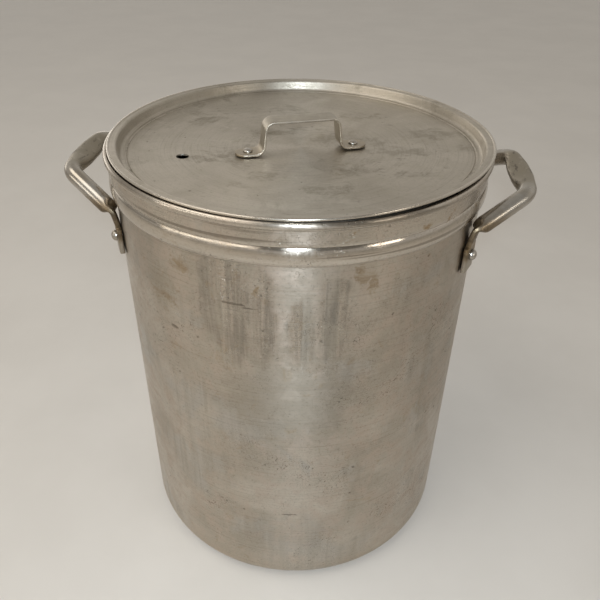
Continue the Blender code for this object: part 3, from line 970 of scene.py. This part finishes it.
def lid_material():
    """Dull lid: rings about its own centre, clouds, dark smudges, small pits and dirt in the groove."""
    material, graph = material_graph("stained_lid_aluminium", (LID_CENTRE, 0.0, 0.0))
    radius = graph.radius()
    clouds = graph.noise(graph.point, scale=15.0, detail=5.0, rough=0.62, distortion=0.7)
    mottle = graph.noise(graph.point, scale=75.0, detail=6.0, rough=0.7, distortion=0.6)
    grain = graph.noise(graph.point, scale=620.0, rough=0.75)
    rings = graph.turned_noise(1.5, 900.0, rough=0.75)
    spokes = graph.turned_noise(30.0, 14.0, rough=0.6)
    lip = graph.step(radius, LID_RADIUS - 2.4 * MM, LID_RADIUS - 1.2 * MM)
    past_groove = graph.math("SUBTRACT", radius, PANEL_RADIUS + 1.5 * LID_GROOVE)
    groove = graph.step(graph.math("ABSOLUTE", past_groove), 1.3 * LID_GROOVE, 0.3 * LID_GROOVE)

    smudge_noise = graph.noise(graph.point, scale=30.0, detail=6.0, rough=0.72, distortion=0.5)
    smudges = graph.step(smudge_noise, 0.52, 0.70)
    ragged = graph.raggedness(scale=70.0, detail=4.0, amount=2.6)
    finger_marks = graph.patches(graph.point, ragged, LID_SMUDGES)
    handled = graph.product(finger_marks, graph.step(mottle, 0.36, 0.60))
    pits = graph.spots(scale=140.0, share=0.14)
    light_scratches = graph.scratches(tilt=(0.0, 1.45, 0.5), seed=5.0, width=0.014)
    dark_scratches = graph.scratches(tilt=(0.0, 1.5, 2.2), seed=11.0, width=0.012)
    dirt = graph.product(groove, graph.step(mottle, 0.5, 0.62))
    marks = graph.most(
        graph.product(pits, 0.7),
        graph.product(dirt, 0.55),
        graph.product(dark_scratches, 0.5),
    )
    colour = graph.layers(
        graph.mix(graph.step(clouds, 0.36, 0.64, low=0.2, high=0.6), DULL, BRIGHT),
        (OLIVE, graph.step(mottle, 0.42, 0.7, low=0.1, high=0.5)),
        (SMUDGE, graph.product(smudges, graph.step(clouds, 0.42, 0.6, low=0.1, high=0.5))),
        (SMUDGE, graph.product(handled, 0.42)),
        (BRIGHT, graph.product(lip, 0.6)),
        (DARK, graph.step(rings, 0.5, 0.8, high=0.25)),
        (DARK, graph.step(grain, 0.5, 0.85, high=0.45)),
        (BRIGHT, graph.product(light_scratches, 0.4)),
        (DARK, marks),
    )
    roughness = graph.total(
        graph.step(clouds, 0.3, 0.7, low=0.42, high=0.50),
        graph.product(smudges, 0.08),
        graph.step(mottle, 0.4, 0.8, low=-0.03, high=0.06),
        graph.step(rings, 0.3, 0.7, low=-0.04, high=0.04),
        graph.product(lip, -0.2),
    )
    normal = graph.bump(
        (rings, 0.022 * MM),
        (spokes, 0.03 * MM),
        (grain, 0.012 * MM),
        (mottle, 0.08 * MM),
        (marks, -0.1 * MM),
    )
    connect(graph, colour, roughness, normal, anisotropy=0.6)
    return material


def tube_material():
    """Shiny legs with a dull, dark, scuffed grip, and brown dirt where the tube is pressed flat,
    darkened further by painted shade in the crease against the wall.
    """
    material, graph = material_graph("polished_tube_aluminium")
    reach = graph.math("ABSOLUTE", graph.part("X"))
    spread = graph.math("ABSOLUTE", graph.part("Y"))
    height = graph.part("Z")
    outer = graph.step(reach, GRIP_REACH - 16 * MM, GRIP_REACH - 6 * MM)
    between = graph.step(spread, GRIP_HALF_LENGTH + 4 * MM, GRIP_HALF_LENGTH - 12 * MM)
    grip = graph.product(outer, between)
    low = graph.step(height, ROOT_HEIGHT + 11 * MM, ROOT_HEIGHT + 1 * MM)
    neck = graph.product(low, graph.step(height, TAB_TOP - 15 * MM, TAB_TOP - 5 * MM))
    mottle = graph.noise(graph.point, scale=170.0, detail=5.0, rough=0.65, distortion=0.5)
    clouds = graph.noise(graph.point, scale=45.0, detail=4.0, rough=0.6, distortion=0.3)
    scuff_place = graph.vector("MULTIPLY", graph.point, (1.0, 0.3, 1.0))
    scuff_noise = graph.noise(scuff_place, scale=190.0, detail=5.0, rough=0.7)
    scuffs = graph.product(grip, graph.step(scuff_noise, 0.53, 0.66))
    # Brown dirt and painted shade at the neck: the dark crease where the flattened tube meets the
    # kettle's wall is shade painted into the colour.
    dirt_and_shade = graph.product(neck, graph.step(mottle, 0.34, 0.56, low=0.6, high=1.0))
    pits = graph.spots(scale=260.0, share=0.16)
    colour = graph.layers(
        graph.mix(graph.step(clouds, 0.35, 0.65, low=0.1, high=0.9), DULL, OXIDE),
        (DULL, graph.product(low, 0.9)),
        (GRIP_BROWN, graph.product(grip, 0.85)),
        (BRIGHT, graph.product(grip, graph.step(mottle, 0.55, 0.75, high=0.3))),
        (DARK, graph.product(scuffs, 0.85)),
        (BROWN, dirt_and_shade),
        # Painted shade: the dark crease between the pressed-flat tube and the wall.
        (DARK, graph.product(dirt_and_shade, graph.step(clouds, 0.36, 0.56, low=0.4, high=0.9))),
        (DARK, graph.product(pits, 0.6)),
    )
    roughness = graph.total(
        graph.step(clouds, 0.3, 0.7, low=0.2, high=0.28),
        graph.product(grip, 0.22),
        graph.product(low, 0.2),
    )
    normal = graph.bump((mottle, 0.03 * MM), (scuffs, -0.10 * MM), (pits, -0.08 * MM))
    connect(graph, colour, roughness, normal)
    return material


def strap_material():
    """Satin strap, brushed along its length and bright at its worn edges."""
    material, graph = material_graph("satin_strap_aluminium", STRAP_PLACE)
    inputs = {"Vector": graph.point, "Angle": -STRAP_TURN}
    own = graph.add("ShaderNodeVectorRotate", inputs, rotation_type="Z_AXIS").outputs[0]
    across = graph.math("ABSOLUTE", graph.part("Y", own))
    edge = graph.step(across, STRAP_SECTION[0] - 1.0 * MM, STRAP_SECTION[0] - 0.2 * MM)
    drawn_out = graph.vector("MULTIPLY", own, (60.0, 2400.0, 60.0))
    brush = graph.noise(drawn_out, scale=1.0, rough=0.7)
    mottle = graph.noise(graph.point, scale=130.0, detail=5.0, rough=0.65, distortion=0.4)
    pits = graph.spots(scale=220.0, share=0.14)
    foot = graph.step(graph.part("Z", own), -0.1 * STRAP_HEIGHT, -0.42 * STRAP_HEIGHT)
    # Browner towards the feet, where the strap sits on the lid: dirt and painted shade.
    dirt_and_shade = graph.product(foot, graph.step(mottle, 0.3, 0.6, low=0.2, high=0.8))
    colour = graph.layers(
        graph.mix(graph.step(mottle, 0.35, 0.7, low=0.1, high=0.9), DULL, OLIVE),
        (BROWN, graph.product(dirt_and_shade, 0.4)),
        (BRIGHT, graph.product(edge, 0.6)),
        (DARK, graph.step(brush, 0.5, 0.8, high=0.3)),
        (DARK, graph.product(pits, 0.6)),
    )
    satin = graph.step(brush, 0.3, 0.7, low=0.36, high=0.46)
    roughness = graph.total(satin, graph.product(edge, -0.04))
    normal = graph.bump((brush, 0.012 * MM), (mottle, 0.04 * MM))
    connect(graph, colour, roughness, normal)
    return material


def rivet_material():
    """Satin heads, finely dimpled and a little dirty."""
    material, graph = material_graph("set_rivet_aluminium")
    dimples = graph.noise(graph.point, scale=420.0, rough=0.6, distortion=0.2)
    clouds = graph.noise(graph.point, scale=150.0, rough=0.6)
    colour = graph.layers(
        graph.mix(graph.step(clouds, 0.35, 0.65), DULL, OXIDE),
        (DARK, graph.step(dimples, 0.55, 0.75, high=0.4)),
    )
    roughness = graph.step(dimples, 0.3, 0.7, low=0.26, high=0.4)
    connect(graph, colour, roughness, graph.bump((dimples, 0.10 * MM)))
    return material


# Stage, light and camera

FLOOR_HALF_SIZE = 6.0
FLOOR_CELLS = 24
FLOOR_TONES = ((0.66, 0.63, 0.585), (0.70, 0.67, 0.625))


def floor_material():
    material, graph = material_graph("pale_floor")
    clouds = graph.noise(graph.point, scale=5.0, detail=4.0, rough=0.6)
    colour = graph.mix(graph.step(clouds, 0.3, 0.7), *FLOOR_TONES)
    roughness = graph.step(clouds, 0.3, 0.7, low=0.6, high=0.7)
    normal = graph.bump((graph.noise(graph.point, scale=300.0), 0.05 * MM))
    connect(graph, colour, roughness, normal, metallic=0.0)
    return material


def make_floor():
    shape = bmesh.new()
    bmesh.ops.create_grid(shape, x_segments=FLOOR_CELLS, y_segments=FLOOR_CELLS, size=FLOOR_HALF_SIZE)
    floor = new_object("floor", shape)
    floor.data.materials.append(floor_material())
    floor.location.z = -GAP


WORLD_COLOUR = (1.0, 0.955, 0.89)
# The way to the glow behind the kettle
BACK_GLOW = Vector((-0.6, 0.8, 0.0))


def make_world():
    """A soft room: brightest half way up, darker in front and overhead, with a glow behind."""
    world = bpy.data.worlds.new("soft_room")
    bpy.context.scene.world = world
    world.use_nodes = True
    graph = Graph(world.node_tree, "Generated")
    up = graph.part("Z")
    front = graph.product(graph.step(graph.part("Y"), 0.2, -0.8), graph.step(up, 0.08, 0.3, high=-0.3))
    rise = graph.total(front, graph.step(up, 0.0, 0.35, low=0.47, high=0.60))
    inputs = {0: graph.point, 1: BACK_GLOW}
    toward = graph.add("ShaderNodeVectorMath", inputs, operation="DOT_PRODUCT").outputs["Value"]
    glow = graph.product(graph.step(toward, 0.8, 0.98, high=1.6), graph.step(up, 0.32, 0.1))
    strength = graph.total(graph.product(rise, graph.step(up, 0.55, 0.95, low=1.0, high=0.7)), glow)
    background = world.node_tree.nodes["Background"]
    background.inputs["Color"].default_value = (*WORLD_COLOUR, 1.0)
    graph.feed(background.inputs["Strength"], strength)


# The camera: its place in metres, its angles in radians and its lens in millimetres
CAMERA_PLACE = Vector((0.0434, -0.5212, 0.5856))
CAMERA_HEADING = -0.0774
CAMERA_PITCH = 0.6019
CAMERA_ROLL = 0.0168
CAMERA_LENS = 38.58
CAMERA_CLIP = 10.0 * MM

LAMP_PLACE = CAMERA_PLACE + Vector((0.004, -0.03, 0.04))
LIGHT_TARGET = Vector((0.0, 0.0, 0.75 * HEIGHT))
# Each light: name, place, width and height in metres, turn about its own axis, power in watts, colour
LIGHTS = (
    ("overhead_softbox", Vector((-0.9, -0.4, 1.8)), (1.6, 0.8), 0.0, 9.0, (1.0, 0.95, 0.88)),
    ("left_card", Vector((-1.17, -1.12, 0.90)), (1.8, 0.35), radians(14), 5.6, (1.0, 0.93, 0.83)),
    ("right_card", Vector((1.14, -0.88, 0.80)), (0.45, 0.3), 0.0, 2.0, (1.0, 0.92, 0.82)),
    ("camera_lamp", LAMP_PLACE, (0.03, 0.03), 0.0, 2.5, (0.78, 0.89, 1.0)),
)


def face(obj, direction, roll):
    """Points the object's -Z along the direction, then turns it about that line."""
    level = direction.to_track_quat("-Z", "Y").to_matrix()
    obj.rotation_mode = "QUATERNION"
    obj.rotation_quaternion = (level @ Matrix.Rotation(roll, 3, "Z")).to_quaternion()


def make_lights():
    for name, place, (width, height), lean, power, colour in LIGHTS:
        light = bpy.data.lights.new(name, "AREA")
        light.shape = "RECTANGLE"
        light.size = width
        light.size_y = height
        light.energy = power
        light.color = colour
        lamp = bpy.data.objects.new(name, light)
        lamp.location = place
        lamp.visible_camera = False
        bpy.context.scene.collection.objects.link(lamp)
        face(lamp, LIGHT_TARGET - place, lean)


def make_camera():
    """Looks down at the kettle from the front, held nearly level."""
    data = bpy.data.cameras.new("camera")
    data.lens = CAMERA_LENS
    data.clip_start = CAMERA_CLIP
    camera = bpy.data.objects.new("camera", data)
    ahead = cos(CAMERA_PITCH)
    forward = Vector((sin(CAMERA_HEADING) * ahead, cos(CAMERA_HEADING) * ahead, -sin(CAMERA_PITCH)))
    camera.location = CAMERA_PLACE
    face(camera, forward, CAMERA_ROLL)
    bpy.context.scene.collection.objects.link(camera)
    bpy.context.scene.camera = camera


def build():
    make_pot(shell_material())
    make_lid(lid_material())
    make_strap(strap_material())
    tube = tube_material()
    make_side_handle("right", 0.0, tube)
    make_side_handle("left", pi, tube)
    rivet = rivet_material()
    make_side_rivets(rivet)
    make_lid_rivets(rivet)
    make_floor()
    make_world()
    make_lights()
    make_camera()
    bpy.context.scene.view_settings.view_transform = "Standard"


build()
